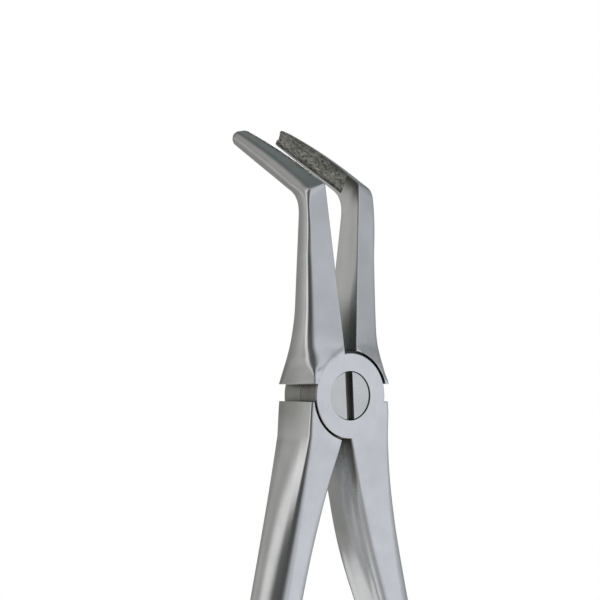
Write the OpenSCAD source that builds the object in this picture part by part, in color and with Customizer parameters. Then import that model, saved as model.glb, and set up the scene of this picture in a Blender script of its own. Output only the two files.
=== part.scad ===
// Lower root extraction forceps: two forged steel halves, half-lapped at a slotted pivot screw.
// The origin is the pivot, midway through the joint. +Z runs along the tool towards the beaks,
// +Y is the way the beaks bend, and the screw's slot faces -Y.
// Each half is drawn closed, against the parting plane X = 0, and then turned to the rest opening.
// a is a distance from that plane, on the side that the piece lies on.

/* [Jaws] */
// Angle between the halves at rest, counted from closed
open_angle = 9.2; // [0:0.2:24]
// Height of the bend above the pivot, on the front face
bend_z = 39; // [37:0.5:41]
// Depth of the front face at the bend, from the joint's middle
bend_front = 2; // [1.6:0.1:2.4]
// Depth of the back face at the bend, from the joint's middle
bend_back = 2.6; // [2.3:0.1:3]
// How far the tips reach behind the joint's middle
beak_reach = 22; // [20:0.5:24]
// Height gained from the bend to the tips
beak_rise = 9.6; // [8:0.2:11]
// Height of the beak's inner face at the tip
tip_h = 3.2; // [2.8:0.1:3.6]
// Outer edge of the shank above its shoulder, from the parting plane
shank_root_w = 7.8; // [7.6:0.05:8]
// Outer edge of the shank at the bend
shank_top_w = 4.6; // [4.4:0.1:4.8]
// Outer edge of the beak at its tip
tip_w = 2.3; // [2.1:0.05:2.5]
// Half the gap between the shanks when closed
shank_gap = 0.55; // [0.5:0.05:0.9]
// Half the gap at the bend when closed
bend_gap = 0.65; // [0.6:0.05:1]
// Half the gap between the tips when closed
tip_gap = 0.12; // [0.1:0.01:0.3]
// Depth of the trough along the beak's inner face
trough_depth = 0.4; // [0.2:0.05:0.45]
// Thickness of the gripping facing beside the trough
facing_t = 0.7; // [0.6:0.05:0.8]
// Distance from the bend to where the facing starts, along the beak
facing_start = 4; // [3.5:0.5:7]

/* [Joint] */
// Thickness of the joint, front to back
joint_t = 9.8; // [9:0.1:10]
// Radius of the two lapped discs
disc_r = 7.85; // [7.6:0.05:8]
// Gap round each disc in the other half
disc_gap = 0.45; // [0.3:0.05:0.6]
// Outer edge of the jaw's shoulder, from the parting plane
shoulder_w = 9.5; // [9.3:0.05:9.6]
// Height of the jaw's shoulder above the pivot
jaw_shoulder_z = 2.8; // [2.4:0.1:3.2]
// Depth of the handle's shoulder below the pivot
handle_shoulder_z = 1.8; // [1.75:0.05:2.2]
// Running gap between the lapped faces
lap_gap = 0.03; // [0.02:0.01:0.06]

/* [Screw] */
// Radius of the slotted head
head_r = 4.45; // [4.2:0.05:4.6]
// Thickness of the head
head_t = 2; // [1.6:0.1:2.4]
// Radius of the journal that the front half turns on
journal_r = 3; // [2.7:0.1:3.3]
// Running gap between the journal and its bore
journal_gap = 0.03; // [0.02:0.01:0.08]
// Radius of the threaded end
thread_r = 2.5; // [2.2:0.1:2.6]
// Width of the driver slot
slot_w = 1.6; // [1.2:0.1:1.8]
// Depth of the driver slot
slot_depth = 1.1; // [0.8:0.1:1.4]
// Lean of the driver slot from upright
slot_lean = 3.4; // [0:0.2:90]

/* [Handles] */
// Length of the handles below the pivot
handle_len = 113; // [105:1:120]
// Largest half gap between the handles when closed
handle_bow = 9.8; // [8:0.2:12]
// Half gap between the handle ends when closed
handle_end_gap = 7.5; // [6:0.5:9]
// Width of the flat front face of the handle, halfway along
handle_w = 5.4; // [5:0.1:6.5]
// How far the rounded outer side swells past that face
handle_swell = 2.5; // [1.8:0.1:3]
// Thickness of the grip, front to back
grip_t = 9.2; // [8.6:0.1:10]

/* [Hidden] */
$fn = 96;
steel = [0.73, 0.75, 0.77];
screw_steel = [0.69, 0.69, 0.67];
grit = [0.36, 0.36, 0.33];
FRONT = -1;
BACK = 1;

face_y = joint_t / 2;
recess_r = disc_r + disc_gap;
rim = 0.2;
overcut = 1;

head_sink = 0.03;
head_face_y = head_sink - face_y;
seat_y = head_face_y + head_t;
head_gap = 0.15;
end_sink = 0.1;
screw_end = face_y - end_sink;
end_chamfer = 0.4;

function mix(a, b, t) = a + (b - a) * t;
function bez2(a, b, c, t) = mix(mix(a, b, t), mix(b, c, t), t);
function bez3(p, t) = mix(bez2(p[0], p[1], p[2], t), bez2(p[1], p[2], p[3], t), t);
function unit(v) = v / norm(v);
function ease(t) = let (u = min(max(t, 0), 1)) u * u * (3 - 2 * u);

// Rounded corner at k, between the edges that run to p and to n
function corner(p, k, n, r, steps) =
  let (start = k + r * unit(p - k), end = k + r * unit(n - k))
  [for (i = [0:steps]) bez2(start, k, end, i / steps)];

// Ring through four corners, front inner, front outer, back outer and back inner.
// The outer side swells by bulge, and the inner side is hollowed between its two lands.
side_steps = [0, 0.5, 1];
side_least = 0.2;
side_most = 0.44;
side_clear = 0.03;
bed_steps = [1, 0.6, 0, -0.6, -1];
bed_half = 0.26;
bed_lip = 0.02;

function side_share(r, depth) = min(side_most, max(side_least, r / depth + side_clear));
function ring(fi, fo, bo, bi, bulge, hollow, r_in, r_out, r_back) =
  let (
    first = side_share(r_out, norm(bo - fo)),
    last = 1 - side_share(r_back, norm(bo - fo)),
    side = [
      for (i = side_steps)
        let (s = mix(first, last, i))
        mix(fo, bo, s) + [4 * bulge * s * (1 - s), 0, 0]
    ],
    bed = [
      for (s = bed_steps)
        mix(fi, bi, 0.5 + bed_half * s) + [hollow * (1 + bed_lip - s * s), 0, 0]
    ]
  )
  concat(
    corner(bi, fi, fo, r_in, 2),
    corner(fi, fo, side[0], r_out, 4),
    side,
    corner(side[2], bo, bi, r_back, 4),
    corner(bo, bi, fi, r_in, 2),
    bed
  );

// Skins a list of rings that have equally many points and run downwards
module loft(rings) {
  n = len(rings[0]);
  last = len(rings) - 1;
  walls = [
    for (k = [0:last - 1], i = [0:n - 1])
      let (j = (i + 1) % n, p = k * n)
      each [[p + i, p + j, p + n + i], [p + j, p + n + j, p + n + i]]
  ];
  polyhedron(
    points = [for (r = rings) each r],
    faces = concat([[for (i = [n - 1:-1:0]) i]], walls, [[for (i = [0:n - 1]) last * n + i]])
  );
}

// A jaw's long edges, as [y, z]. u runs along the shank from 0 to 1, round the bend to 2 and along
// the beak to 3. c is the corner that the edge turns at, and tip the point where it ends.
shank_sink = 0.03;
shank_depth = face_y - shank_sink;
face_flat = 8.5;
back_power = 0.8;
crease_span = 3.2;
inner_crease = 0.5;
outer_crease = 1.4;
crook_span = 3.4;
crown = 0.9;

function shank_edge(s, toward, c) =
  let (
    z = mix(jaw_shoulder_z, c[1], s),
    fall = toward < 0 ? max(z - face_flat, 0) / (c[1] - face_flat) : pow(s, back_power)
  )
  [toward * mix(shank_depth, abs(c[0]), fall), z];
function shank_run(c, span) = 1 - span / (c[1] - jaw_shoulder_z);

// Front edge: straight up to a crease that is rounded by soft, then along the beak's slightly crowned top
function front_edge(u, c, tip, soft) =
  let (
    run = shank_run(c, crease_span),
    q = 2 * u - 3,
    rise = unit(c - shank_edge(run, FRONT, c)),
    reach = unit(tip + [0, crown] - c),
    start = c + crease_span * reach
  )
  u < 1 ? shank_edge(u * run, FRONT, c)
  : u > 2 ? bez2(start, (start + tip) / 2 + [0, crown], tip, u - 2)
  : abs(q) * crease_span < soft
    ? bez2(c - soft * rise, c, c + soft * reach, (q * crease_span / soft + 1) / 2)
  : c + q * crease_span * (q < 0 ? rise : reach);

// Back edge: straight up, round a fillet behind the bend, then straight along the beak
function back_edge(u, c, tip) =
  let (
    run = shank_run(c, crook_span),
    foot = shank_edge(run, BACK, c),
    start = c + crook_span * unit(tip - c)
  )
  u < 1 ? shank_edge(u * run, BACK, c)
  : u > 2 ? mix(start, tip, u - 2)
  : bez2(foot, c, start, u - 1);

tip_tilt = 29;
tip_down = [sin(tip_tilt), -cos(tip_tilt)];
top_lean = 0.35;
low_lean = 0.3;
crease_drop = 1.2;
crease_fall = 0.45;
crook_drop = 0.3;
crook_lift = 0.5;

crease_in = [-bend_front, bend_z];
crease_out = crease_in + [crease_fall, -crease_drop];
crook_in = [bend_back, bend_z - bend_back - crook_drop];
crook_out = crook_in + [0, crook_lift];
top_in = [beak_reach, bend_z + beak_rise];
top_out = top_in + top_lean * tip_down;
low_in = top_in + tip_h * tip_down;
low_out = low_in - low_lean * tip_down;

// Distances of a jaw's sides from the parting plane, along the same u. The front half's edge runs into
// its disc, and the back half's flares out round that disc.
flare_h = 9;
front_flare = 0.85;
front_flare_h = 22;
joint_edge = [7.9, 8.7];
back_taper = 1.17;
back_flare = 0.6;
taper_rate = 2.2;
function of_way(pair, way) = way < 0 ? pair[0] : pair[1];
function jaw_inner(u) = u < 1 ? mix(shank_gap, bend_gap, u) : mix(bend_gap, tip_gap, max(u - 2, 0));
function flare(z, h) = pow(max(0, 1 - (z - jaw_shoulder_z) / h), 2);
function shank_w(z) =
  mix(shank_root_w, shank_top_w, min((z - jaw_shoulder_z) / (bend_z - jaw_shoulder_z), 1));
function jaw_front(u, z, way) =
  u > 2 ? mix(shank_top_w, tip_w, u - 2)
  : min(shank_w(z) + front_flare * flare(z, front_flare_h), of_way(joint_edge, way));
function jaw_taper(u) =
  u < 1 ? mix(-back_flare, back_taper, ease(taper_rate * u)) : back_taper * (1 - ease((u - 1) / 2));
function jaw_back(u, z) =
  (u > 2 ? mix(shank_top_w, tip_w, u - 2) : shank_w(z) + (shoulder_w - shank_root_w) * flare(z, flare_h))
  - jaw_taper(u);

// The shank's front face falls back towards its outer edge, and runs out flush with the joint's face
outer_depth = 1.57;
outer_slope = 0.04;
outer_flare = 3.4;
outer_flare_h = 10;
fall_start = 0.7;
function shank_outer(u, p) =
  let (
    rise = outer_flare * flare(p[1], outer_flare_h),
    depth = outer_depth + outer_slope * (crease_out[1] - p[1]),
    blend = ease((u - fall_start) / (1 - fall_start))
  )
  u < 1 ? [-min(shank_depth, mix(depth, -p[0], blend) + rise), p[1]] : p;

trough_start = 2.1;
trough_run = 0.2;
inner_round = 0.3;
shank_hollow = 0.04;
jaw_bulge = 0.4;
shank_round = [2.5, 1.3, 1.1, 0.95];
least_round = 0.3;
sharp_z = [4.2, 2.8];
sharp_run = 2.5;
bend_round = 1.3;
tip_round = 0.8;
tip_nose = 0.3;
function jaw_round(u) =
  u < 1 ? bez3(shank_round, u)
  : u < 2 ? mix(shank_round[3], bend_round, ease(u - 1))
  : mix(bend_round, tip_round, u - 2);

function jaw_ring(u, way) =
  let (
    fi = front_edge(u, crease_in, top_in, inner_crease),
    fo = shank_outer(u, front_edge(u, crease_out, top_out, outer_crease)),
    bo = back_edge(u, crook_out, low_out),
    bi = back_edge(u, crook_in, low_in),
    a_in = jaw_inner(u),
    keen = u < 1 ? ease((fo[1] - of_way(sharp_z, way)) / sharp_run) : 1
  )
  ring([a_in, each fi], [jaw_front(u, fo[1], way), each fo], [jaw_back(u, fo[1]), each bo], [a_in, each bi],
       jaw_bulge, mix(shank_hollow, trough_depth, ease((u - trough_start) / trough_run)), inner_round,
       mix(least_round, jaw_round(u), keen), jaw_round(u));

// Rounds the end of the beak off, turn degrees on from its last ring
function nose_ring(turn) =
  let (
    ahead = unit(top_in - crease_in) * tip_nose * sin(turn),
    inset = tip_nose * (1 - cos(turn)),
    down = inset * tip_down,
    a_in = tip_gap + inset,
    a_out = tip_w - inset
  )
  ring([a_in, each (top_in + ahead + down)], [a_out, each (top_out + ahead + down)],
       [a_out, each (low_out + ahead - down)], [a_in, each (low_in + ahead - down)],
       jaw_bulge, trough_depth, inner_round, tip_round - inset, tip_round - inset);

nose_turns = [60, 30];
shank_steps = 16;
bend_steps = [0.98, 0.8, 0.62, 0.56, 0.5, 0.44, 0.38, 0.2];
beak_steps = 12;
shank_crowd = 1.3;
function jaw_rings(way) = concat(
  [for (turn = nose_turns) nose_ring(turn)],
  [for (i = [beak_steps:-1:1]) jaw_ring(2 + i / beak_steps, way)],
  [for (t = bend_steps) jaw_ring(1 + t, way)],
  [for (i = [shank_steps:-1:0]) jaw_ring(pow(i / shank_steps, shank_crowd), way)]
);

// Handle: its inner edge, as [a, z], bows out from the joint and comes in again towards the end
handle_foot = [0.3, -handle_shoulder_z];
inner_edge = [
  [0, -6],
  [handle_bow * 0.66, -40],
  [handle_bow * 1.38, -66],
  [handle_end_gap, -handle_len]
];

// Control values along the handle, from the joint to the end: width of the front face, how much
// further out the back edge lies, swell of the outer side, half thickness and the corners' radii
grip_width = [8.3, 1.9, handle_w * 1.2, handle_w * 0.88];
grip_slant = [0.4, 6.2, -1.5, 0.6];
grip_bulge = [0.6, 1, handle_swell, handle_swell * 0.9];
grip_depth = [shank_depth, 1.6, grip_t * 0.65, grip_t * 0.47];
grip_round = [0.4, 1.6, 1.4, 1.2];
grip_inner_round = [0.3, 1.2, 1, 0.8];
grip_crown = 0.15;

// The crotch is shallower at the back, by this share of the front gap, up to where it fades away
crotch_share = 0.85;
crotch_end = 0.1;
crotch_fade = 0.4;

// Below the joint the inner edges of both handles lean towards the left one, and come back by the grip
front_lean = [-0.9, 0.6];
back_lean = [-0.5, 0.6];
lean_start = 3.5;
lean_run = 4;
lean_end = 25;
function lean(z) = ease((-z - lean_start) / lean_run) * (1 - ease((-z - lean_end) / lean_end));

// Ring of the handle at p on its inner edge, t of the way along. size shrinks it at the end.
function grip_ring(p, t, size, way) =
  let (
    width = bez3(grip_width, t),
    slant = bez3(grip_slant, t) * size,
    depth = bez3(grip_depth, t) * size,
    inset = width * (1 - size) / 2,
    front_in = p[0] + inset + of_way(front_lean, way) * lean(p[1]),
    front_out = p[0] + inset + width * size,
    closed = crotch_share * (1 - ease((t - crotch_end) / crotch_fade)),
    back_in = p[0] * (1 - closed) + inset + of_way(back_lean, way) * lean(p[1])
  )
  ring([front_in, -depth, p[1]], [front_out, -depth, p[1]],
       [front_out + slant, depth, p[1]], [back_in, depth, p[1]],
       bez3(grip_bulge, t) * size, -grip_crown * size, bez3(grip_inner_round, t) * size,
       bez3(grip_round, t) * size, bez3(grip_round, t) * size);

foot_h = 2;
grip_steps = 26;
end_steps = 5;
end_turn = 78;
end_round = 3.4;
function handle_rings(way) = concat(
  [grip_ring(handle_foot, 0, 1, way), grip_ring(handle_foot - [0, foot_h], 0, 1, way)],
  [for (i = [1:grip_steps]) grip_ring(bez3(inner_edge, i / grip_steps), i / grip_steps, 1, way)],
  [
    for (i = [1:end_steps])
      let (turn = end_turn * i / end_steps)
      grip_ring(inner_edge[3] - [0, end_round * sin(turn)], 1, cos(turn), way)
  ]
);

// Puts a piece that is drawn at a positive X on the side that way names
module side(way) {
  if (way < 0) mirror([1, 0, 0]) children();
  else children();
}

// Round solid along Y, from y0 to y1
module turned(r, y0, y1) {
  translate([0, y0, 0]) rotate([-90, 0, 0]) cylinder(r = r, h = y1 - y0);
}

// Disc of the half-lap, with its outer rim broken
module lap_disc(way) {
  rotate([-90 * way, 0, 0]) translate([0, 0, lap_gap / 2]) {
    cylinder(r = disc_r, h = face_y - lap_gap / 2 - rim);
    translate([0, 0, face_y - lap_gap / 2 - rim]) cylinder(r1 = disc_r, r2 = disc_r - rim, h = rim);
  }
}

// Where the gripping facing lies on a beak's inner side, as a wedge along the beak. It stops short of the
// lower edge, which stays bare.
facing_drop = 3.7;
module facing_zone() {
  span = beak_reach + bend_front;
  beak_angle = atan2(beak_rise + crown, span);
  far = beak_reach + 2 * facing_start;
  start_a = mix(bend_gap, tip_gap, facing_start / span) + facing_t;
  end_a = mix(bend_gap, tip_gap, far / span) + facing_t;
  translate([0, each crease_in]) rotate([beak_angle, 0, 0])
    translate([0, 0, -facing_drop]) linear_extrude(far)
      polygon([[-overcut, facing_start], [start_a, facing_start], [end_a, far], [-overcut, far]]);
}

// Room for the other half's disc
module recess(way) {
  rotate([90 * way, 0, 0]) translate([0, 0, -lap_gap / 2]) cylinder(r = recess_r, h = joint_t);
}

// One half: way is the side of its beak, and of its disc
module half(way) {
  rotate([0, way * open_angle / 2, 0]) {
    side(way) difference() {
      loft(jaw_rings(way));
      recess(way);
      facing_zone();
    }
    side(-way) difference() {
      loft(handle_rings(way));
      recess(way);
    }
    lap_disc(way);
  }
}

module front_half() {
  color(steel) difference() {
    half(FRONT);
    turned(journal_r + journal_gap, -face_y - overcut, overcut);
    turned(head_r + head_gap, -face_y - overcut, seat_y + lap_gap);
  }
}

module back_half() {
  color(steel) difference() {
    half(BACK);
    turned(thread_r, -overcut, face_y + overcut);
  }
}

module pivot_screw() {
  color(screw_steel) difference() {
    rotate([-90, 0, 0]) rotate_extrude() polygon([
      [0, head_face_y],
      [head_r - rim / 2, head_face_y],
      [head_r, head_face_y + rim / 2],
      [head_r, seat_y],
      [journal_r, seat_y],
      [journal_r, lap_gap / 2],
      [thread_r, lap_gap / 2],
      [thread_r, screw_end - end_chamfer],
      [thread_r - end_chamfer, screw_end],
      [0, screw_end]
    ]);
    rotate([0, -slot_lean, 0]) translate([-slot_w / 2, head_face_y - overcut, -head_r - overcut])
      cube([slot_w, slot_depth + overcut, 2 * (head_r + overcut)]);
  }
}

module grip_facing(way) {
  color(grit) rotate([0, way * open_angle / 2, 0]) side(way) intersection() {
    loft(jaw_rings(way));
    facing_zone();
  }
}

module left_grip_facing() {
  grip_facing(FRONT);
}

module right_grip_facing() {
  grip_facing(BACK);
}

front_half();
back_half();
pivot_screw();
left_grip_facing();
right_grip_facing();
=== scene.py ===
import math

import bmesh
import bpy
import numpy as np
from mathutils import Matrix, Vector


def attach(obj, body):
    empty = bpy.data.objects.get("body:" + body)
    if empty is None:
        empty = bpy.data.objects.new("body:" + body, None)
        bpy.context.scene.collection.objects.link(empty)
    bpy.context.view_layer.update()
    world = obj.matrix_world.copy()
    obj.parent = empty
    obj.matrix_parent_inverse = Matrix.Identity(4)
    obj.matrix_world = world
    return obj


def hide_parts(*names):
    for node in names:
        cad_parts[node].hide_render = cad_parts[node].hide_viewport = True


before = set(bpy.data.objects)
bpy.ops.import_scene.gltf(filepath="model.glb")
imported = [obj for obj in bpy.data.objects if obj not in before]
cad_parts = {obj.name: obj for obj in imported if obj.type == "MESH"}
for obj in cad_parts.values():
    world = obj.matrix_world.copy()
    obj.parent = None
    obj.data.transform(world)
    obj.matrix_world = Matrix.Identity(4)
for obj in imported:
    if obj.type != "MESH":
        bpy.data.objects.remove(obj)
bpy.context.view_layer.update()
scene = bpy.context.scene

# The forged halves: two stainless steel forgings, ground to shape and given a satin finish.
# Each has a bent beak, a tapering shank, one disc of the half-lap and a bowed handle on the
# other side, and the two turn on the screw through their discs. Lengths are in millimetres.
OPEN = 9.2
FACE_Y, LAP = 4.9, 0.015
DISC_R, DISC_BREAK, RIM, RECESS_R, RECESS_REACH = 7.85, 0.15, 0.22, 8.3, 12
BORE_R, COUNTERBORE_R, COUNTERBORE_Y, THREAD_R = 3.03, 4.51, -2.84, 2.5
CUT_FAR, CUT_OVER = 9, 1
FLUSH, BLEND, EDGE_BREAK = 0.01, 0.03, 0.06
JAW_FOOT, HANDLE_FOOT, HANDLE_FOOT_IN = 2.8, -1.8, 0.3
SHANK_DEPTH, SHANK_FLAT = FACE_Y - 0.03, 8.5
SHANK_THIN, SHANK_GROW, ROOT_FLARE, ROOT_HIGH = 1.57, 0.04, 3.4, 10

# A boss is the radius of its flat and the fall of the cone round it. Points on a jaw are (y, z).
JAW_BOSS, GRIP_BOSS = (8.3, 0.5), (9.5, 0.1)
CREASE_SPAN, CROOK_SPAN, CROWN = 3.2, 3.4, 0.9
CREASE_SOFT_IN, CREASE_SOFT_OUT = 0.5, 1.4
TIP_DOWN = np.array([math.sin(math.radians(29)), -math.cos(math.radians(29))])
CREASE_IN = np.array([-2.0, 39.0])
CREASE_OUT = CREASE_IN + np.array([0.45, -1.2])
CROOK_IN = np.array([2.6, 36.1])
CROOK_OUT = CROOK_IN + np.array([0.0, 0.5])
TOP_IN = np.array([22.0, 48.6])
BEAK_DIR = (TOP_IN - CREASE_IN) / np.linalg.norm(TOP_IN - CREASE_IN)
LOW_IN = TOP_IN + 3.2 * TIP_DOWN
LOW_OUT = LOW_IN - 0.3 * TIP_DOWN
GAP_SHANK, GAP_BEND, GAP_TIP = 0.55, 0.65, 0.12
WIDTH_ROOT, WIDTH_TOP, WIDTH_TIP, WIDTH_SHOULDER, WIDTH_FLARE = 7.8, 4.6, 2.8, 9.5, 0.85
FLARE_RUN, SHOULDER_RUN = 22, 9
ROOT_TAPER, BEND_TAPER, TIP_TAPER, NOSE_IN, NOSE_OUT = -0.6, 1.17, 0.45, 0.3, 0.75
BULGE, SHANK_HOLLOW, TROUGH = 0.4, 0.04, 0.4
INNER_ROUND, SHARP_ROUND, SHANK_ROUND, BACK_ROUND = 0.3, 0.3, (1.3, 1.15), [2.6, 1.3, 1.1, 0.95]
BEND_ROUND, BEND_BACK_ROUND, TIP_ROUND = 1.6, 1.4, 1.0
FACING_RUN, FACING_FROM, FACING_LOW, FACING_DEEP = TOP_IN[0] - CREASE_IN[0], 4.0, 3.7, 0.7
FACING_TURN = math.atan2(TOP_IN[1] - CREASE_IN[1] + CROWN, FACING_RUN)

# These differ between the front half (-1) and the back half (1).
WIDTH_JOINT = {-1: 7.9, 1: 8.7}
SHARP_Z = {-1: 4.2, 1: 2.8}
ROOT_ROUND = {-1: 2.0, 1: 2.8}
CREASE_ROUND = {-1: 0.6, 1: 0.95}
TOP_LEAN = {-1: 0.0, 1: 0.7}
FRONT_LEAN = {-1: -0.9, 1: 0.6}
BACK_LEAN = {-1: -0.5, 1: 0.6}
LAP_SHADE = {-1: 0.85, 1: 0.7}

# The handle's inner edge, (x, z), and what its sections take from the joint to the end of the handle.
INNER_EDGE = [np.array(p) for p in ([0.0, -6.0], [6.468, -40.0], [13.524, -66.0], [7.5, -113.0])]
GRIP_WIDTH, GRIP_DEPTH = [8.3, 1.9, 6.5, 4.752], [4.87, 1.6, 5.98, 4.324]
GRIP_SLANT, GRIP_SWELL, GRIP_HOLLOW = [0.4, 6.2, -1.5, 0.6], [0.6, 1.0, 2.5, 2.25], -0.15
GRIP_IN_ROUND, GRIP_FRONT_ROUND = [0.3, 2.2, 1.0, 0.8], [0.5, 1.8, 1.4, 1.2]
GRIP_BACK_ROUND, GRIP_END = [0.4, 1.6, 1.4, 1.2], 3.4

FACE_POINTS, SIDE_POINTS, BED_POINTS = 9, 11, 15
INNER_STEPS, OUTER_STEPS = 5, 12


def mix(a, b, t):
    return a + (b - a) * t


def ease(t):
    t = min(max(t, 0.0), 1.0)
    return t * t * (3 - 2 * t)


def bez2(a, b, c, t):
    """Point t of the way along the curve that three control points give."""
    return mix(mix(a, b, t), mix(b, c, t), t)


def bez3(p, t):
    """Point, or value, t of the way along the curve that four control points or values give."""
    return mix(bez2(p[0], p[1], p[2], t), bez2(p[1], p[2], p[3], t), t)


def unit(v):
    return v / np.linalg.norm(v)


def corner(before, tip, after, r, steps):
    """Points of the rounding, r from the corner at tip, between the sides to the points before and after."""
    start, end = tip + r * unit(before - tip), tip + r * unit(after - tip)
    return [bez2(start, tip, end, i / steps) for i in range(steps + 1)]


def swelled(fo, bo, bulge, s):
    """Point of an outer side, s of the way from the front to the back, that swells in its middle."""
    return mix(fo, bo, s) + np.array([4 * bulge * s * (1 - s), 0, 0])


def raised(p, boss):
    """Lifts a face point to the flat of the boss, or to the cone that falls away from that flat."""
    flat_r, fall = boss
    high = FACE_Y - FLUSH - fall * max(math.hypot(p[0], p[2]) - flat_r, 0)
    low = abs(p[1])
    top = (low + high + math.hypot(low - high, BLEND)) / 2
    return np.array([p[0], math.copysign(top, p[1]), p[2]])


def section(fi, fo, bo, bi, bulge, hollow, r_in, r_out, r_back, boss, bow=1.0):
    """Closed outline through a section's corners: front inner, front outer, back outer and back inner.
    Its outer side swells and its inner side is hollowed."""
    def shares(p, q, r):
        across = np.linalg.norm(q - p)
        return np.linspace(min(0.4, r_in / across + 0.04), 1 - min(0.55, r / across + 0.04), FACE_POINTS)

    face = [np.array([mix(fi[0], fo[0], s), mix(fi[1], fo[1], s ** bow), mix(fi[2], fo[2], s)])
            for s in shares(fi, fo, r_out)]
    rear = [mix(bi, bo, s) for s in shares(bi, bo, r_back)[::-1]]
    face, rear = [raised(p, boss) for p in face], [raised(p, boss) for p in rear]
    fi, fo, bo, bi = (raised(p, boss) for p in (fi, fo, bo, bi))
    depth = np.linalg.norm(bo - fo)
    first, last = (min(0.44, max(0.2, r / depth + 0.03)) for r in (r_out, r_back))
    side = [swelled(fo, bo, bulge, s) for s in np.linspace(first, 1 - last, SIDE_POINTS)]
    bed = [mix(fi, bi, 0.5 + 0.26 * s) + np.array([hollow * (1.02 - s * s), 0, 0])
           for s in np.linspace(1, -1, BED_POINTS)]
    return (corner(bi, fi, face[0], r_in, INNER_STEPS) + face
            + corner(face[-1], fo, side[0], r_out, OUTER_STEPS) + side
            + corner(side[-1], bo, rear[0], r_back, OUTER_STEPS) + rear
            + corner(rear[-1], bi, fi, r_in, INNER_STEPS) + bed)


def shank_edge(s, toward, crease):
    """Point of a shank's front (toward -1) or back (1) edge, s of the way up to the crease."""
    z = mix(JAW_FOOT, crease[1], s)
    fall = max(z - SHANK_FLAT, 0) / (crease[1] - SHANK_FLAT) if toward < 0 else s ** 0.8
    return np.array([toward * mix(SHANK_DEPTH, abs(crease[0]), fall), z])


def front_edge(u, crease, tip, soft):
    """Point of a jaw's front edge: up the shank to 1, round the crease to 2, along the beak to 3."""
    run = 1 - CREASE_SPAN / (crease[1] - JAW_FOOT)
    rise = unit(crease - shank_edge(run, -1, crease))
    reach = unit(tip + np.array([0, CROWN]) - crease)
    start = crease + CREASE_SPAN * reach
    if u < 1:
        return shank_edge(u * run, -1, crease)
    if u > 2:
        return bez2(start, (start + tip) / 2 + np.array([0, CROWN]), tip, u - 2)
    past = (2 * u - 3) * CREASE_SPAN
    if abs(past) < soft:
        return bez2(crease - soft * rise, crease, crease + soft * reach, (past / soft + 1) / 2)
    return crease + past * (rise if past < 0 else reach)


def back_edge(u, crook, tip):
    """Point of a jaw's back edge, with u as for its front edge."""
    run = 1 - CROOK_SPAN / (crook[1] - JAW_FOOT)
    start = crook + CROOK_SPAN * unit(tip - crook)
    if u < 1:
        return shank_edge(u * run, 1, crook)
    if u > 2:
        return mix(start, tip, u - 2)
    return bez2(shank_edge(run, 1, crook), crook, start, u - 1)


def top_out(way):
    return TOP_IN + TOP_LEAN[way] * TIP_DOWN


def jaw_section(u, way):
    """Outline of a jaw at u: the shank from 0 to 1, the bend to 2, the beak to 3."""
    fi = front_edge(u, CREASE_IN, TOP_IN, CREASE_SOFT_IN)
    fo = front_edge(u, CREASE_OUT, top_out(way), CREASE_SOFT_OUT)
    bo, bi = back_edge(u, CROOK_OUT, LOW_OUT), back_edge(u, CROOK_IN, LOW_IN)
    rise = fo[1] - JAW_FOOT
    if u < 1:
        flare = ROOT_FLARE * max(0, 1 - rise / ROOT_HIGH) ** 2
        thin = SHANK_THIN + SHANK_GROW * (CREASE_OUT[1] - fo[1])
        fo[0] = -min(SHANK_DEPTH, mix(thin, -fo[0], ease((u - 0.7) / 0.3)) + flare)
    x_in = mix(GAP_SHANK, GAP_BEND, u) if u < 1 else mix(GAP_BEND, GAP_TIP, max(u - 2, 0))
    if u > 2:
        x_out = x_back = mix(WIDTH_TOP, WIDTH_TIP, u - 2)
    else:
        straight = mix(WIDTH_ROOT, WIDTH_TOP, min(rise / (CREASE_IN[1] - JAW_FOOT), 1))
        x_out = min(straight + WIDTH_FLARE * max(0, 1 - rise / FLARE_RUN) ** 2, WIDTH_JOINT[way])
        x_back = straight + (WIDTH_SHOULDER - WIDTH_ROOT) * max(0, 1 - rise / SHOULDER_RUN) ** 2
    if u < 1:
        taper = mix(ROOT_TAPER, BEND_TAPER, ease(2.2 * u))
        r_back = bez3(BACK_ROUND, u)
        r_shank = bez3([ROOT_ROUND[way], *SHANK_ROUND, CREASE_ROUND[way]], u)
        r_out = mix(SHARP_ROUND, r_shank, ease((fo[1] - SHARP_Z[way]) / 2.5))
    else:
        taper = mix(BEND_TAPER, TIP_TAPER, ease((u - 1) / 2))
        if u < 2:
            r_out = mix(CREASE_ROUND[way], BEND_ROUND, ease(u - 1))
            r_back = mix(BACK_ROUND[-1], BEND_BACK_ROUND, ease(u - 1))
        else:
            r_out, r_back = mix(BEND_ROUND, TIP_ROUND, u - 2), mix(BEND_BACK_ROUND, TIP_ROUND, u - 2)
    hollow = mix(SHANK_HOLLOW, TROUGH, ease((u - 2.1) / 0.2))
    bow = mix(3, 1, ease((rise - 3.7) / 3))
    return section(np.array([x_in, *fi]), np.array([x_out, *fo]), np.array([x_back - taper, *bo]),
                   np.array([x_in, *bi]), BULGE, hollow, INNER_ROUND, r_out, r_back, JAW_BOSS, bow)


def nose_section(turn, way):
    """Outline of a beak's rounded end, turn degrees round its nose, which is blunter on the outer side."""
    rise, fall = math.sin(math.radians(turn)), 1 - math.cos(math.radians(turn))
    ahead = BEAK_DIR * (NOSE_OUT * rise - NOSE_OUT + NOSE_IN)
    inner, outer = NOSE_IN * fall, NOSE_OUT * fall
    x_in, x_out = GAP_TIP + inner, WIDTH_TIP - outer
    return section(np.array([x_in, *(TOP_IN + ahead + inner * TIP_DOWN)]),
                   np.array([x_out, *(top_out(way) + ahead + outer * TIP_DOWN)]),
                   np.array([x_out - TIP_TAPER, *(LOW_OUT + ahead - outer * TIP_DOWN)]),
                   np.array([x_in, *(LOW_IN + ahead - inner * TIP_DOWN)]),
                   BULGE, TROUGH, INNER_ROUND, TIP_ROUND - outer, TIP_ROUND - outer, JAW_BOSS)


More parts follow.
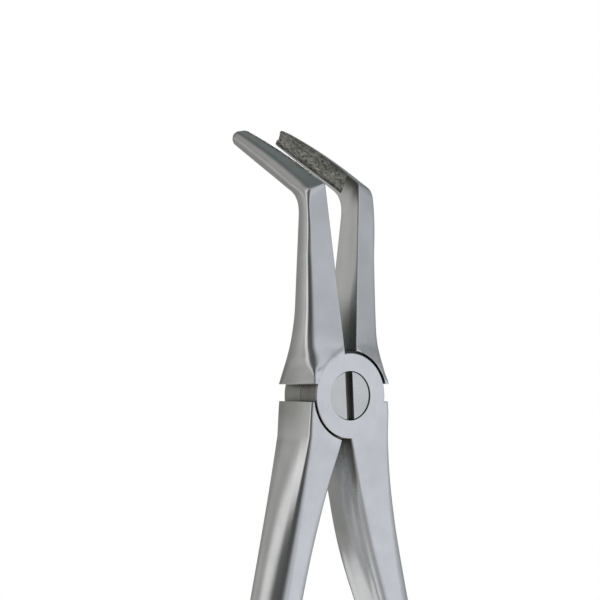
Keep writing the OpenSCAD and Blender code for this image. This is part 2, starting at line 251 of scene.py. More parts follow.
def grip_corners(p, t, size, way):
    """Corners of a handle's section at p on its inner edge, t of the way from the joint to the end."""
    width = bez3(GRIP_WIDTH, t)
    slant = bez3(GRIP_SLANT, t) * size
    depth = bez3(GRIP_DEPTH, t) * size
    lean = ease((-p[1] - 3.5) / 4) * (1 - ease((-p[1] - 25) / 25))
    inset = width * (1 - size) / 2
    front_out = p[0] + inset + width * size
    front_in = p[0] + inset + FRONT_LEAN[way] * lean
    back_in = p[0] * (1 - 0.85 * (1 - ease((t - 0.1) / 0.4))) + inset + BACK_LEAN[way] * lean
    return (np.array([front_in, -depth, p[1]]), np.array([front_out, -depth, p[1]]),
            np.array([front_out + slant, depth, p[1]]), np.array([back_in, depth, p[1]]))


def grip_section(p, t, size, way):
    """Outline of a handle at p, shrunk to size where its end is rounded off."""
    rounds = (bez3(r, t) * size for r in (GRIP_IN_ROUND, GRIP_FRONT_ROUND, GRIP_BACK_ROUND))
    return section(*grip_corners(p, t, size, way), bez3(GRIP_SWELL, t) * size, GRIP_HOLLOW * size, *rounds,
                   GRIP_BOSS)


def piece_from(name, verts, faces):
    mesh = bpy.data.meshes.new(name)
    mesh.from_pydata([tuple(v) for v in verts], [], faces)
    mesh.validate()
    piece = bpy.data.objects.new(name, mesh)
    scene.collection.objects.link(piece)
    return piece


def outward(piece):
    """Turns all faces of the piece to look outward."""
    shape = bmesh.new()
    shape.from_mesh(piece.data)
    bmesh.ops.recalc_face_normals(shape, faces=shape.faces)
    shape.to_mesh(piece.data)
    shape.free()


def loft(name, outlines):
    """Closed solid through a row of outlines that have the same number of points."""
    n = len(outlines[0])
    verts = [v for o in outlines for v in o]
    faces = [tuple(range(n - 1, -1, -1)), tuple((len(outlines) - 1) * n + i for i in range(n))]
    for k in range(len(outlines) - 1):
        for i in range(n):
            j = (i + 1) % n
            faces.append((k * n + i, k * n + j, (k + 1) * n + j, (k + 1) * n + i))
    piece = piece_from(name, verts, faces)
    outward(piece)
    return piece


def turned(name, profile, steps=160):
    """Solid of revolution about Y, from a profile of (radius, y) that starts and ends on the axis."""
    inner = profile[1:-1]
    n = len(inner)
    verts, faces = [], []
    for i in range(steps):
        a = 2 * math.pi * i / steps
        verts += [(r * math.cos(a), y, r * math.sin(a)) for r, y in inner]
        j = (i + 1) % steps
        faces += [(i * n + k, i * n + k + 1, j * n + k + 1, j * n + k) for k in range(n - 1)]
    faces.append(tuple(i * n for i in range(steps)))
    faces.append(tuple(i * n + n - 1 for i in range(steps - 1, -1, -1)))
    piece = piece_from(name, verts, faces)
    outward(piece)
    return piece


def block(name, corners):
    """Six-sided solid from its eight corners, listed with x changing first, then y, then z."""
    sides = [(0, 1, 3, 2), (4, 6, 7, 5), (0, 4, 5, 1), (1, 5, 7, 3), (3, 7, 6, 2), (2, 6, 4, 0)]
    return piece_from(name, corners, sides)


def settle(piece):
    """Turns the piece's modifiers into its mesh."""
    made = bpy.data.meshes.new_from_object(piece.evaluated_get(bpy.context.evaluated_depsgraph_get()))
    piece.modifiers.clear()
    piece.data = made


def combine(piece, operation, *others):
    """Adds, cuts or keeps the overlap of the other pieces, one after another, and removes them."""
    for other in others:
        step = piece.modifiers.new("combine", "BOOLEAN")
        step.operation, step.object, step.solver = operation, other, "EXACT"
        settle(piece)
        bpy.data.objects.remove(other)
    return piece


def place(piece, matrix):
    piece.data.transform(matrix)
    if matrix.determinant() < 0:
        piece.data.flip_normals()
    return piece


def mirrored(piece, way):
    return place(piece, Matrix.Scale(way, 4, (1, 0, 0)))


def disc(way):
    lap, face = way * LAP, way * FACE_Y
    rim = [(DISC_R - RIM * (1 - math.sin(a)), face - way * RIM * (1 - math.cos(a)))
           for a in np.radians([90, 67.5, 45, 22.5, 0])]
    lower = [(0, lap), (DISC_R - DISC_BREAK, lap), (DISC_R, lap + way * DISC_BREAK)]
    return turned("disc", [*lower, *rim, (0, face)])


def recess(way):
    floor_y, open_y = way * LAP, -way * RECESS_REACH
    return turned("recess", [(0, floor_y), (RECESS_R, floor_y), (RECESS_R, open_y), (0, open_y)])


def facing_wedge():
    """Room for the gripping facing along a beak's inner side, well past the beak at its tip and top."""
    past_tip, past_top, past_gap = 10, 17, -1.0
    ends = [(s, mix(GAP_BEND, GAP_TIP, s / FACING_RUN) + FACING_DEEP)
            for s in (FACING_FROM, FACING_RUN + past_tip)]
    piece = block("facing_wedge", [(x, s, h) for h in (-FACING_LOW, past_top) for s, a in ends
                                   for x in (past_gap, a)])
    place(piece, Matrix.Translation((0, *CREASE_IN)) @ Matrix.Rotation(FACING_TURN, 4, "X"))
    outward(piece)
    return piece


def jaw_outlines(way):
    """Outlines of a jaw from its nose to its foot, closest together at the middle of the bend."""
    bend = [(1 + math.copysign(abs(x) ** 1.6, x)) / 2 for x in np.linspace(0.99, -0.95, 31)]
    return ([nose_section(t, way) for t in (78, 62, 46, 30, 15)]
            + [jaw_section(2 + i / 40, way) for i in range(39, 0, -1)]
            + [jaw_section(1 + t, way) for t in bend]
            + [jaw_section((i / 60) ** 1.2, way) for i in range(60, -1, -1)])


def grip_outlines(way):
    """Outlines of a handle from its foot inside the joint to its rounded end."""
    ends = [math.radians(a) for a in np.linspace(6.5, 78, 12)]
    return ([grip_section(np.array([HANDLE_FOOT_IN, HANDLE_FOOT - d]), 0, 1, way) for d in (0, 1, 2)]
            + [grip_section(bez3(INNER_EDGE, i / 100), i / 100, 1, way) for i in range(2, 101)]
            + [grip_section(INNER_EDGE[3] - np.array([0, GRIP_END * math.sin(a)]), 1, math.cos(a), way)
               for a in ends])


def half(name, way):
    """One half, with its beak and disc on the side that way gives: -1 for the front half, 1 for the back."""
    jaw = mirrored(loft(name, jaw_outlines(way)), way)
    combine(jaw, "DIFFERENCE", recess(way), mirrored(facing_wedge(), way))
    handle = mirrored(loft("handle", grip_outlines(way)), -way)
    combine(handle, "DIFFERENCE", recess(way))
    return combine(jaw, "UNION", disc(way), handle)


def join_flats(piece):
    """Joins the strips that make up a handle's flat at the joint, so that its edge can be broken evenly."""
    shape = bmesh.new()
    shape.from_mesh(piece.data)
    bmesh.ops.remove_doubles(shape, verts=shape.verts, dist=0.01)
    flat = [e for e in shape.edges if len(e.link_faces) == 2 and e.verts[0].co.z < 0
            and all(abs(f.normal.y) > 0.9998 for f in e.link_faces)]
    bmesh.ops.dissolve_limit(shape, angle_limit=math.radians(0.6), edges=flat, verts=[])
    shape.to_mesh(piece.data)
    shape.free()


def break_edges(piece, width):
    """Takes the sharpness off every edge of more than 34 degrees."""
    step = piece.modifiers.new("broken edges", "BEVEL")
    step.width, step.segments, step.limit_method, step.angle_limit = width, 3, "ANGLE", math.radians(34)
    step.use_clamp_overlap = False
    settle(piece)


def grime(piece, way):
    """Marks, while the piece is still closed, where shade is painted into the steel's colour: the laps and
    the counterbore's wall, the inner sides at the crotches and the bend, and the outer sides at the ledges.
    This painted shade stands in for the shadows in the gaps and the dark reflections of the other half."""
    counterbore_wall = 4.7
    mesh = piece.data
    marks = mesh.attributes.new("grime", "FLOAT", "POINT")
    for v in mesh.vertices:
        x, y, z = v.co
        to_gap = (-way if z > 0 else way) * v.normal.x
        out = math.hypot(x, z)
        on_lap = DISC_R - 0.3 < out < RECESS_R + 0.15 and abs(y) < FACE_Y - RIM * 0.7
        walled = (on_lap or out < counterbore_wall) and abs(v.normal.y) < 0.6
        # Painted shadow in the gaps of the half-lap and on the counterbore's wall, darker on the front half.
        lap = LAP_SHADE[way] if walled else 0.0
        outside = 0.0
        # Painted shade and painted reflection on the beak's inner side along the bend and in the crease's
        # nook.
        if z > 30:
            below = (z - CREASE_IN[1]) * BEAK_DIR[0] - (y - CREASE_IN[0]) * BEAK_DIR[1]
            nook = math.exp(-((y - CREASE_IN[0] - 0.6) / 1.7) ** 2 - ((z - CREASE_IN[1] + 0.8) / 2.3) ** 2)
            inside = max(math.exp(-abs(below / 2.25) ** 3), nook)
        elif z > 0:
            # Painted shade on the shank's inner side towards the joint, and under the ledge on its outer
            # side.
            inside = 0.5 * ease((19.5 - z) / 6)
            outside = 0.3 * (1 - ease((z - 3) / 6))
        else:
            # Painted shade in the crotch between the handles, along the inner side's front edge, and under
            # the ledge on the outer side.
            crotch = 0.7 * (1 - ease((-z - 6) / 11))
            front = 0.9 * ease((-y - 1.2) / 2.4) * (1 - ease((-z - 13) / 8))
            inside = max(crotch, front)
            set_back = mix(0.3, 1, ease((y + 4.5) / 5))
            outside = 0.5 * set_back * (1 - ease((-z - 4) / 7))
        inside *= ease((to_gap - 0.4) / 0.3)
        outside *= ease((-to_gap - 0.4) / 0.3)
        marks.data[v.index].value = max(lap, inside, outside)


def finish_piece(piece, turn):
    """Turns a piece to the rest opening and its lengths to metres, smooth between its sharp edges."""
    place(piece, Matrix.Scale(0.001, 4) @ Matrix.Rotation(math.radians(turn), 4, "Y"))
    piece.data.polygons.foreach_set("use_smooth", [True] * len(piece.data.polygons))
    piece.data.set_sharp_from_angle(angle=math.radians(32))
    step = piece.modifiers.new("flat faces", "WEIGHTED_NORMAL")
    step.keep_sharp, step.weight = True, 50
    settle(piece)


def node_tool(tree):
    """Gives a function that adds a node to the tree, with its settings and inputs, by name or by number."""
    def add(kind, settings=(), **inputs):
        node = tree.nodes.new(kind)
        for key, value in dict(settings).items():
            setattr(node, key, value)
        for key, value in inputs.items():
            socket = node.inputs[int(key[1:]) if key[1:].isdigit() else key.replace("_", " ")]
            if isinstance(value, bpy.types.NodeSocket):
                tree.links.new(value, socket)
            else:
                socket.default_value = value
        return node

    return add


def steel(name, tint, rough, lines, depth):
    """Ground steel: faint blotches, fine lines along the grinding, and painted shade, a dark colour on a
    rougher finish, where grime is marked. lines is how often they repeat per metre along X, Y and Z,
    and depth is how strong they are."""
    material = bpy.data.materials.new(name)
    material.use_nodes = True
    shader = material.node_tree.nodes["Principled BSDF"]
    link = material.node_tree.links.new
    add = node_tool(material.node_tree)
    here = add("ShaderNodeTexCoord").outputs["Object"]
    blotch = add("ShaderNodeTexNoise", Vector=here, Scale=260.0, Detail=2.0, Roughness=0.5)
    drawn = add("ShaderNodeMapping", Vector=here, Scale=lines)
    line = add("ShaderNodeTexNoise", Vector=drawn.outputs[0], Scale=1.0, Detail=3.0, Roughness=0.65)
    # The grime attribute: where shade is painted dark and the finish is made rougher.
    dull = add("ShaderNodeAttribute", {"attribute_name": "grime"})
    patchy = add("ShaderNodeMapRange", Value=blotch.outputs["Fac"], From_Min=0.3, From_Max=0.7,
                 To_Min=0.9, To_Max=1.1)
    marked = add("ShaderNodeMath", {"operation": "MULTIPLY", "use_clamp": True},
                 i0=dull.outputs["Fac"], i1=patchy.outputs[0])
    shade = add("ShaderNodeMapRange", Value=blotch.outputs["Fac"], From_Min=0.25, From_Max=0.75,
                To_Min=0.95, To_Max=1.05)
    clean = add("ShaderNodeMix", {"data_type": "RGBA", "blend_type": "MULTIPLY"}, i0=1.0, i6=(*tint, 1))
    link(shade.outputs[0], clean.inputs[7])
    # The painted shade: a dark olive colour mixed in where the grime attribute is marked.
    colour = add("ShaderNodeMix", {"data_type": "RGBA"}, i0=marked.outputs[0], i6=clean.outputs[2],
                 i7=(0.17, 0.165, 0.15, 1))
    wear_and_shade = add("ShaderNodeMapRange", Value=line.outputs["Fac"], From_Min=0.25, From_Max=0.75,
               To_Min=rough - 0.03, To_Max=rough + 0.05)
    rough_all = add("ShaderNodeMath", {"operation": "MULTIPLY_ADD"},
                    i0=marked.outputs[0], i1=0.16, i2=wear_and_shade.outputs[0])
    bump = add("ShaderNodeBump", Strength=depth, Distance=0.00002, Height=line.outputs["Fac"])
    link(colour.outputs[2], shader.inputs["Base Color"])
    link(rough_all.outputs[0], shader.inputs["Roughness"])
    link(bump.outputs[0], shader.inputs["Normal"])
    shader.inputs["Metallic"].default_value = 1.0
    return material


satin_steel = steel("satin_steel", (0.60, 0.605, 0.61), 0.2, (5200, 5200, 160), 0.08)
front_half = half("front_half_steel", -1)
bore = turned("bore", [(0, -CUT_FAR), (BORE_R, -CUT_FAR), (BORE_R, CUT_OVER), (0, CUT_OVER)])
counterbore = turned("counterbore", [(0, -CUT_FAR), (COUNTERBORE_R, -CUT_FAR),
                                     (COUNTERBORE_R, COUNTERBORE_Y), (0, COUNTERBORE_Y)])
combine(front_half, "DIFFERENCE", bore, counterbore)
back_half = half("back_half_steel", 1)
thread_hole = turned("bore", [(0, -CUT_OVER), (THREAD_R, -CUT_OVER), (THREAD_R, CUT_FAR), (0, CUT_FAR)])
combine(back_half, "DIFFERENCE", thread_hole)
for piece, way, body, node, slot in ((front_half, -1, "front", "front_half", "front_steel"),
                                     (back_half, 1, "back", "back_half", "back_steel")):
    join_flats(piece)
    break_edges(piece, EDGE_BREAK)
    grime(piece, way)
    finish_piece(piece, way * OPEN / 2)
    piece.data.materials.clear()
    piece.data.materials.append(satin_steel)
    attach(piece, body)
    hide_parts(node)

# The pivot screw: a turned stainless shoulder screw with a flush slotted head. Its journal carries
# the front half and its threaded end is tight in the back half, so it turns with that one.
HEAD_FACE, HEAD_R, HEAD_UNDER, HEAD_BREAK = -4.66, 4.45, -2.87, 0.12
JOURNAL_R, END_Y, END_R, END_BREAK = 3.0, 4.8, 2.1, 0.4
SLOT_W, SLOT_DEEP, SLOT_REACH, SLOT_LEAN = 1.6, 1.1, 6, 3.4
SCREW_EDGE_BREAK = 0.06
screw = turned("pivot_screw_steel", [
    (0, HEAD_FACE), (HEAD_R - HEAD_BREAK, HEAD_FACE), (HEAD_R - 0.03, HEAD_FACE + 0.03),
    (HEAD_R, HEAD_FACE + HEAD_BREAK), (HEAD_R, HEAD_UNDER), (JOURNAL_R, HEAD_UNDER), (JOURNAL_R, LAP),
    (THREAD_R, LAP), (THREAD_R, END_Y - END_BREAK), (END_R, END_Y), (0, END_Y)])
slot_cut = block("slot", [(x, y, z) for z in (-SLOT_REACH, SLOT_REACH)
                          for y in (-SLOT_REACH, HEAD_FACE + SLOT_DEEP) for x in (-SLOT_W / 2, SLOT_W / 2)])
outward(slot_cut)
place(slot_cut, Matrix.Rotation(math.radians(-SLOT_LEAN), 4, "Y"))
combine(screw, "DIFFERENCE", slot_cut)
break_edges(screw, SCREW_EDGE_BREAK)
# Painted shade in the screw's slot: its floor and walls are marked to be painted dark.
marks = screw.data.attributes.new("grime", "FLOAT", "POINT")
for v in screw.data.vertices:
    in_slot = HEAD_FACE + 0.1 < v.co.y < HEAD_FACE + SLOT_DEEP + 0.1
    marks.data[v.index].value = 0.85 if in_slot else 0.0
finish_piece(screw, 0)
screw.data.materials.clear()
screw.data.materials.append(steel("turned_steel", (0.58, 0.58, 0.57), 0.25, (9000, 9000, 90), 0.5))
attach(screw, "back")
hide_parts("pivot_screw")

# The gripping facings: a thin layer of hard grit bonded to the inner side of each beak, troughed to
# hold a root, with its bare edge just past the bend. The grains are set by nodes over the bonded layer.
GRAIN, GRAINS_PER_MM2, FACING_EDGE_BREAK = 0.00011, 10, 0.05
ROLL_STRETCH = 5


def grit():
    """Grit in its bond: dark and light grains in streaks along the beak, dull between them, and painted
    shade that makes it darker towards the root, the top and the lower edge."""
    material = bpy.data.materials.new("bonded_grit")
    material.use_nodes = True
    shader = material.node_tree.nodes["Principled BSDF"]
    link = material.node_tree.links.new
    add = node_tool(material.node_tree)
    here = add("ShaderNodeTexCoord").outputs["Object"]
    lie = math.atan2(BEAK_DIR[1], BEAK_DIR[0])
    rolled = add("ShaderNodeMapping", {"vector_type": "TEXTURE"}, Vector=here, Rotation=(lie, 0, 0),
                 Scale=(1, ROLL_STRETCH, 1))
    fleck = add("ShaderNodeTexNoise", Vector=rolled.outputs[0], Scale=5200.0, Detail=2.0, Roughness=0.7)
    cloud = add("ShaderNodeTexNoise", Vector=rolled.outputs[0], Scale=800.0, Detail=3.0)
    tone = add("ShaderNodeValToRGB", Fac=fleck.outputs["Fac"])
    dark, light = tone.color_ramp.elements
    dark.position, dark.color = 0.32, (0.04, 0.039, 0.035, 1)
    light.position, light.color = 0.66, (0.48, 0.475, 0.43, 1)
    drift = add("ShaderNodeMapRange", Value=cloud.outputs["Fac"], From_Min=0.3, From_Max=0.7,
                To_Min=0.6, To_Max=1.4)
    high = add("ShaderNodeSeparateXYZ", Vector=rolled.outputs[0])
    top = CREASE_IN[1] * BEAK_DIR[0] - CREASE_IN[0] * BEAK_DIR[1]
    # Painted shade: darker towards the facing's top edge.
    wear_and_shade = add("ShaderNodeMapRange", Value=high.outputs["Z"], From_Min=(top - 0.9) / 1000,
               From_Max=(top + 0.3) / 1000, To_Min=1.0, To_Max=0.35)
    # Painted shade: darker towards the root, in the bend.
    root = BEAK_DIR @ CREASE_IN + FACING_FROM
    root_shade = add("ShaderNodeMapRange", Value=high.outputs["Y"], From_Min=root / (1000 * ROLL_STRETCH),
                 From_Max=(root + 14) / (1000 * ROLL_STRETCH), To_Min=0.78, To_Max=1.0)
    # Painted shadow along the facing's lower edge.
    level = add("ShaderNodeMapping", {"vector_type": "TEXTURE"}, Vector=here, Rotation=(FACING_TURN, 0, 0))
    height = add("ShaderNodeSeparateXYZ", Vector=level.outputs[0])
    foot = CREASE_IN[1] * math.cos(FACING_TURN) - CREASE_IN[0] * math.sin(FACING_TURN) - FACING_LOW
    edge = add("ShaderNodeMapRange", Value=height.outputs["Z"], From_Min=(foot + 0.1) / 1000,
               From_Max=(foot + 0.6) / 1000, To_Min=0.4, To_Max=1.0)
    shade = drift.outputs[0]
    for part in (wear_and_shade, root_shade, edge):
        shade = add("ShaderNodeMath", {"operation": "MULTIPLY"}, i0=shade, i1=part.outputs[0]).outputs[0]
    colour = add("ShaderNodeMix", {"data_type": "RGBA", "blend_type": "MULTIPLY"}, i0=1.0,
                 i6=tone.outputs["Color"], i7=shade)
    dull = add("ShaderNodeMapRange", Value=fleck.outputs["Fac"], From_Min=0.3, From_Max=0.7,
               To_Min=0.7, To_Max=0.4)
    bump = add("ShaderNodeBump", Strength=0.6, Distance=0.00006, Height=fleck.outputs["Fac"])
    link(colour.outputs[2], shader.inputs["Base Color"])
    link(dull.outputs[0], shader.inputs["Roughness"])
    link(bump.outputs[0], shader.inputs["Normal"])
    shader.inputs["Metallic"].default_value = 0.35
    return material


def tree_with(name, given, made):
    """An empty tree of geometry nodes with its named inputs, a geometry output and a node tool."""
    tree = bpy.data.node_groups.new(name, "GeometryNodeTree")
    for label, kind in given:
        tree.interface.new_socket(label, in_out="INPUT", socket_type="NodeSocket" + kind)
    tree.interface.new_socket(made, in_out="OUTPUT", socket_type="NodeSocketGeometry")
    add = node_tool(tree)
    return tree, add, add("NodeGroupInput").outputs


def apply_tree(piece, tree, **values):
    """Runs the tree on the piece with the values given, and keeps the result as a plain mesh."""
    step = piece.modifiers.new(tree.name, "NODES")
    step.node_group = tree
    for item in tree.interface.items_tree:
        if item.in_out == "INPUT" and item.name in values:
            step[item.identifier] = values[item.name]
    settle(piece)


coat_inputs = [("Layer", "Geometry"), ("Grain_size", "Float"), ("Grains_per_area", "Float"),
               ("Gap_side", "Float"), ("Finish", "Material")]
grit_coat, add, given = tree_with("grit_coat", coat_inputs, "Coated")
look = add("ShaderNodeSeparateXYZ", Vector=add("GeometryNodeInputNormal").outputs[0])
facing_gap = add("ShaderNodeMath", {"operation": "MULTIPLY"}, i0=look.outputs["X"], i1=given["Gap_side"])
coated = add("FunctionNodeCompare", {"operation": "GREATER_THAN"}, i0=facing_gap.outputs[0], i1=0.25)
spots = add("GeometryNodeDistributePointsOnFaces", Mesh=given["Layer"], Selection=coated.outputs[0],
            Density=given["Grains_per_area"], Seed=11)
grain = add("GeometryNodeMeshIcoSphere", Radius=given["Grain_size"], Subdivisions=1)
size = add("FunctionNodeRandomValue", {"data_type": "FLOAT"}, i2=0.45, i3=1.0, Seed=3)
turn = add("FunctionNodeRandomValue", {"data_type": "FLOAT_VECTOR"}, i0=(0, 0, 0), i1=(6.28, 6.28, 6.28),
           Seed=5)
grains = add("GeometryNodeInstanceOnPoints", Points=spots.outputs["Points"], Instance=grain.outputs["Mesh"],
             Rotation=turn.outputs[0], Scale=size.outputs[1])
together = add("GeometryNodeJoinGeometry", Geometry=grains.outputs[0])
grit_coat.links.new(given["Layer"], together.inputs[0])
solid = add("GeometryNodeRealizeInstances", Geometry=together.outputs[0])
dressed = add("GeometryNodeSetMaterial", Geometry=solid.outputs[0], Material=given["Finish"])
add("NodeGroupOutput", Coated=dressed.outputs[0])

bonded_grit = grit()
for way, body, node in ((-1, "front", "left_grip_facing"), (1, "back", "right_grip_facing")):
    facing = mirrored(loft(node + "_grit", jaw_outlines(way)), way)
    combine(facing, "INTERSECT", mirrored(facing_wedge(), way))
    break_edges(facing, FACING_EDGE_BREAK)
    finish_piece(facing, way * OPEN / 2)
    apply_tree(facing, grit_coat, Grain_size=GRAIN, Grains_per_area=GRAINS_PER_MM2 * 1e6, Gap_side=-way,
               Finish=bonded_grit)
    facing.data.materials.clear()
    facing.data.materials.append(bonded_grit)
    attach(facing, body)
    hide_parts(node)

# The handle serrations: rows of blunt four-sided teeth rolled into the outer side of each handle,
# where the palm and fingers close on it. They are part of the forging and take its finish.
TOOTH, TOOTH_HIGH, TOOTH_FILL = 0.8, 0.34, 0.97
TEETH_FROM, TEETH_TO = -52.0, -104.0

teeth_inputs = [("Places", "Geometry"), ("Tooth_half_width", "Float"), ("Tooth_height", "Float"),
                ("Finish", "Material")]
teeth_rows, add, given = tree_with("teeth_rows", teeth_inputs, "Teeth")
tooth = add("GeometryNodeMeshCone", Vertices=4, Radius_Bottom=given["Tooth_half_width"],
            Depth=given["Tooth_height"])
blunt = add("ShaderNodeMath", {"operation": "MULTIPLY"}, i0=given["Tooth_half_width"], i1=0.22)
teeth_rows.links.new(blunt.outputs[0], tooth.inputs["Radius Top"])
outside = add("GeometryNodeInputNamedAttribute", {"data_type": "FLOAT_VECTOR"}, Name="outside")
stand = add("FunctionNodeAlignRotationToVector", {"axis": "Z"}, Vector=outside.outputs[0])
along = add("FunctionNodeAlignRotationToVector", {"axis": "X", "pivot_axis": "Z"}, Rotation=stand.outputs[0],
            Vector=(0, 0, 1))
teeth = add("GeometryNodeInstanceOnPoints", Points=given["Places"], Instance=tooth.outputs["Mesh"],
            Rotation=along.outputs[0])
sunk = add("GeometryNodeTranslateInstances", Instances=teeth.outputs[0], Translation=(0, 0, -0.00006))
solid = add("GeometryNodeRealizeInstances", Geometry=sunk.outputs[0])
dressed = add("GeometryNodeSetMaterial", Geometry=solid.outputs[0], Material=given["Finish"])
add("NodeGroupOutput", Teeth=dressed.outputs[0])


def outer_side(t, s):
    """Point of a handle's outer side, t of the way along it and s of the way from front to back."""
    fi, fo, bo, bi = grip_corners(bez3(INNER_EDGE, t), t, 1, 1)
    return swelled(fo, bo, bez3(GRIP_SWELL, t), s)


def teeth_places(name, way):
    """A point and an outward direction for each tooth on one handle's outer side."""
    share = np.linspace(0, 1, 200)
    heights = np.array([bez3(INNER_EDGE, t)[1] for t in share])
    verts, outs = [], []
    rows = int((TEETH_FROM - TEETH_TO) / TOOTH)
    for i in range(rows + 1):
        t = np.interp(-(TEETH_FROM - i * TOOTH), -heights, share)
        deep = np.linalg.norm(outer_side(t, 0.9) - outer_side(t, 0.1)) / 0.8
        for j in range(-4, 5):
            s = 0.5 + (j + 0.5 * (i % 2)) * 2 * TOOTH / deep
            if 0.17 < s < 0.83:
                along = outer_side(t + 0.01, s) - outer_side(t - 0.01, s)
                across = outer_side(t, s + 0.02) - outer_side(t, s - 0.02)
                out = unit(np.cross(across, along))
                verts.append(outer_side(t, s))
                outs.append(out if out[0] > 0 else -out)
    piece = piece_from(name, verts, [])
    marks = piece.data.attributes.new("outside", "FLOAT_VECTOR", "POINT")
    turn = Matrix.Rotation(math.radians(way * OPEN / 2), 3, "Y")
    for i, out in enumerate(outs):
        marks.data[i].vector = turn @ Vector((-way * out[0], out[1], out[2]))
    piece.data.transform(Matrix.Scale(0.001, 4) @ turn.to_4x4() @ Matrix.Scale(-way, 4, (1, 0, 0)))
    return piece


for way, body, name, slot in ((-1, "front", "front_handle_teeth", "front_steel"),
                              (1, "back", "back_handle_teeth", "back_steel")):
    teeth_piece = teeth_places(name, way)
    apply_tree(teeth_piece, teeth_rows, Tooth_half_width=TOOTH * TOOTH_FILL / 1000,
               Tooth_height=TOOTH_HIGH / 1000, Finish=satin_steel)
    outward(teeth_piece)
    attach(teeth_piece, body)

# The stage: a camera on the photo's axis, a white floor under the handles' ends, and the cards
# that a steel tool is shot between, which only its reflections show. Lengths are in metres.
PX_PER_M, PICTURE_PX, SENSOR, REACH = 5470, 600, 36, 4.0
FLOOR_Z, FLOOR_R, FLOOR_SIDES = -0.116, 0.16, 128
TENT_R = 0.8

camera = bpy.data.objects.new("camera", bpy.data.cameras.new("camera"))
scene.collection.objects.link(camera)
scene.camera = camera
azimuth, elevation, roll = math.radians(-37), math.radians(0.6), math.radians(0.3)
back = Vector((math.sin(azimuth) * math.cos(elevation), -math.cos(azimuth) * math.cos(elevation),
               math.sin(elevation)))
right = Vector((math.cos(azimuth), math.sin(azimuth), 0))
up = back.cross(right)
joint_face = Vector((0, -0.0049, 0))
across, above = -51.6 / PX_PER_M, 95.2 / PX_PER_M
aim = (joint_face + right * (across * math.cos(roll) + above * math.sin(roll))
       + up * (above * math.cos(roll) - across * math.sin(roll)))
camera.data.sensor_width = SENSOR
camera.data.lens = SENSOR * REACH / (PICTURE_PX / PX_PER_M)
camera.location = aim + back * REACH
camera.rotation_euler = (Matrix((right, up, back)).transposed() @ Matrix.Rotation(roll, 3, "Z")).to_euler()
camera.data.clip_end = 50

world = bpy.data.worlds.new("studio")
scene.world = world
world.use_nodes = True
add = node_tool(world.node_tree)
path = add("ShaderNodeLightPath").outputs
shown = add("ShaderNodeMath", {"operation": "MAXIMUM"}, i0=path["Is Camera Ray"], i1=path["Is Glossy Ray"])
shown = add("ShaderNodeMath", {"operation": "MAXIMUM"}, i0=shown.outputs[0], i1=path["Is Transmission Ray"])
strength = add("ShaderNodeMapRange", Value=shown.outputs[0], To_Min=0.55, To_Max=1.0)
backdrop = world.node_tree.nodes["Background"]
backdrop.inputs["Color"].default_value = (1, 1, 1, 1)
world.node_tree.links.new(strength.outputs[0], backdrop.inputs["Strength"])

ring_of = [2 * math.pi * i / FLOOR_SIDES for i in range(FLOOR_SIDES)]
floor = piece_from("floor", [(FLOOR_R * math.cos(a), FLOOR_R * math.sin(a), FLOOR_Z) for a in ring_of],
                   [tuple(range(FLOOR_SIDES))])
paper = bpy.data.materials.new("white_paper")
paper.use_nodes = True
paper.node_tree.nodes.clear()
add = node_tool(paper.node_tree)
flat = add("ShaderNodeMapping", Vector=add("ShaderNodeTexCoord").outputs["Object"], Scale=(1, 1, 0))
out_from = add("ShaderNodeVectorMath", {"operation": "LENGTH"}, i0=flat.outputs[0])
fade = add("ShaderNodeMapRange", {"interpolation_type": "SMOOTHSTEP"}, Value=out_from.outputs["Value"],
           From_Min=0.06, From_Max=0.155)
lit = add("ShaderNodeBsdfDiffuse", Color=(0.97, 0.97, 0.97, 1))
white = add("ShaderNodeEmission", Color=(1, 1, 1, 1), Strength=1.0)
both = add("ShaderNodeMixShader", i0=fade.outputs[0], i1=lit.outputs[0], i2=white.outputs[0])
add("ShaderNodeOutputMaterial", Surface=both.outputs[0])
floor.data.materials.append(paper)

for name, at, power, width in (("key_lamp", (-0.7, -0.9, 1.1), 11, 1.0),
                               ("fill_lamp", (0.9, 0.5, 1.2), 6, 1.0)):
    lamp = bpy.data.objects.new(name, bpy.data.lights.new(name, "AREA"))
    lamp.data.energy, lamp.data.size = power, width
    lamp.location = at
    lamp.rotation_euler = Vector(at).to_track_quat("Z", "Y").to_euler()
    lamp.visible_glossy = lamp.visible_camera = False
    scene.collection.objects.link(lamp)

# How bright the cards are round the tool, by degrees from the front: TENT at its height, with a tint,
# COLLAR above that, ROOF overhead and LOW below.
WARM, PLAIN, ROSE = (1, 1, 0.965), (1, 1, 1), (1, 0.985, 0.985)
COOL, GREEN = (0.97, 1, 1.065), (0.92, 1.03, 1.02)
TENT = [(-180, 0.33, WARM), (-167, 0.38, WARM), (-143, 0.67, WARM), (-116, 0.68, WARM), (-109, 0.72, ROSE),
        (-102, 1.2, ROSE), (-84, 1.2, ROSE), (-75, 0.3, PLAIN), (-68, 0.08, PLAIN), (-26, 0.08, PLAIN),
        (-8, 0.4, COOL), (4, 0.7, COOL), (16, 0.69, COOL), (24, 0.66, COOL), (30, 0.86, COOL),
        (37, 1.08, COOL), (44, 0.84, COOL), (56, 0.64, COOL), (75, 0.59, COOL), (90, 0.5, COOL),
        (115, 0.36, GREEN), (166, 0.34, GREEN), (180, 0.33, WARM)]
COLLAR = [(-180, 0.2), (-152, 0.2), (-144, 0.4), (-130, 0.42), (-120, 0.3), (-112, 0.45), (-103, 0.95),
          (-84, 0.95), (-74, 0.14), (-30, 0.12), (-8, 0.5), (4, 0.85), (16, 0.85), (26, 0.4), (40, 0.3),
          (56, 0.42), (75, 0.45), (90, 0.35), (118, 0.22), (142, 0.2), (180, 0.2)]
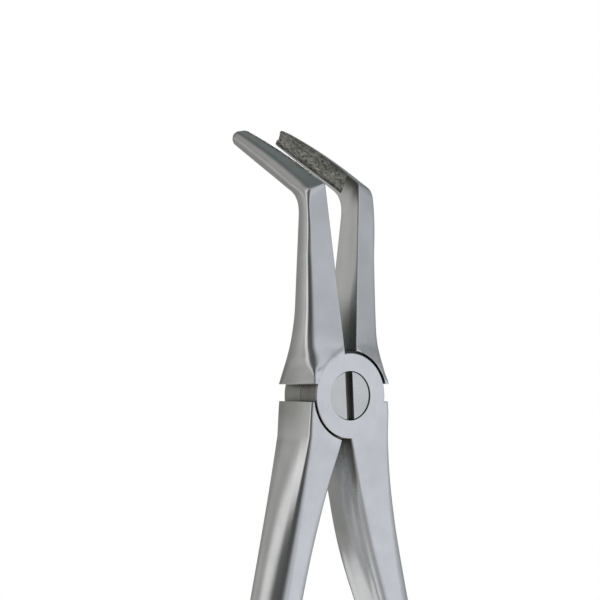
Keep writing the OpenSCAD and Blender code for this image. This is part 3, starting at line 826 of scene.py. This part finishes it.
ROOF = [(-180, 0.2), (-162, 0.26), (-148, 0.38), (-138, 0.5), (-120, 0.4), (-106, 0.95), (-84, 0.95),
        (-74, 0.14), (-30, 0.12), (-8, 0.5), (4, 0.85), (16, 0.85), (26, 0.4), (75, 0.4), (118, 0.22),
        (142, 0.23), (154, 0.15), (166, 0.16), (180, 0.2)]
LOW = [(-180, 0.33), (-60, 0.33), (0, 0.5), (20, 0.86), (50, 0.86), (90, 0.5), (180, 0.33)]
tent_verts, tent_light = [], []
rows = list(range(-40, 91, 5))
cols = list(range(-180, 180, 3))
for e in rows:
    lift, crown, sink = ease((e - 1) / 22), ease((e - 17) / 26), ease(-e / 10)
    for a in cols:
        wall, collar, roof, low = (np.interp(a, [t[0] for t in band], [t[1] for t in band])
                                   for band in (TENT, COLLAR, ROOF, LOW))
        level = mix(mix(mix(wall, collar, lift), roof, crown), low, sink)
        tint = [np.interp(a, [t[0] for t in TENT], [t[2][k] for t in TENT]) for k in range(3)]
        tent_light.append([level * part for part in tint])
        tilt, swing = math.radians(min(e, 89.5)), math.radians(a)
        tent_verts.append((TENT_R * math.sin(swing) * math.cos(tilt),
                           -TENT_R * math.cos(swing) * math.cos(tilt), TENT_R * math.sin(tilt)))
n = len(cols)
tent_faces = [(i * n + j, i * n + (j + 1) % n, (i + 1) * n + (j + 1) % n, (i + 1) * n + j)
              for i in range(len(rows) - 1) for j in range(n)]
tent = piece_from("light_tent", tent_verts, tent_faces)
shades = tent.data.color_attributes.new("light", "FLOAT_COLOR", "POINT")
for i, shade in enumerate(tent_light):
    shades.data[i].color = (*shade, 1)
cloth = bpy.data.materials.new("tent_cloth")
cloth.use_nodes = True
cloth.node_tree.nodes.clear()
add = node_tool(cloth.node_tree)
light = add("ShaderNodeVertexColor", {"layer_name": "light"})
glow = add("ShaderNodeEmission", Color=light.outputs["Color"])
add("ShaderNodeOutputMaterial", Surface=glow.outputs[0])
tent.data.materials.append(cloth)
tent.visible_camera = tent.visible_diffuse = tent.visible_shadow = tent.visible_transmission = False

scene.view_settings.view_transform = "Standard"
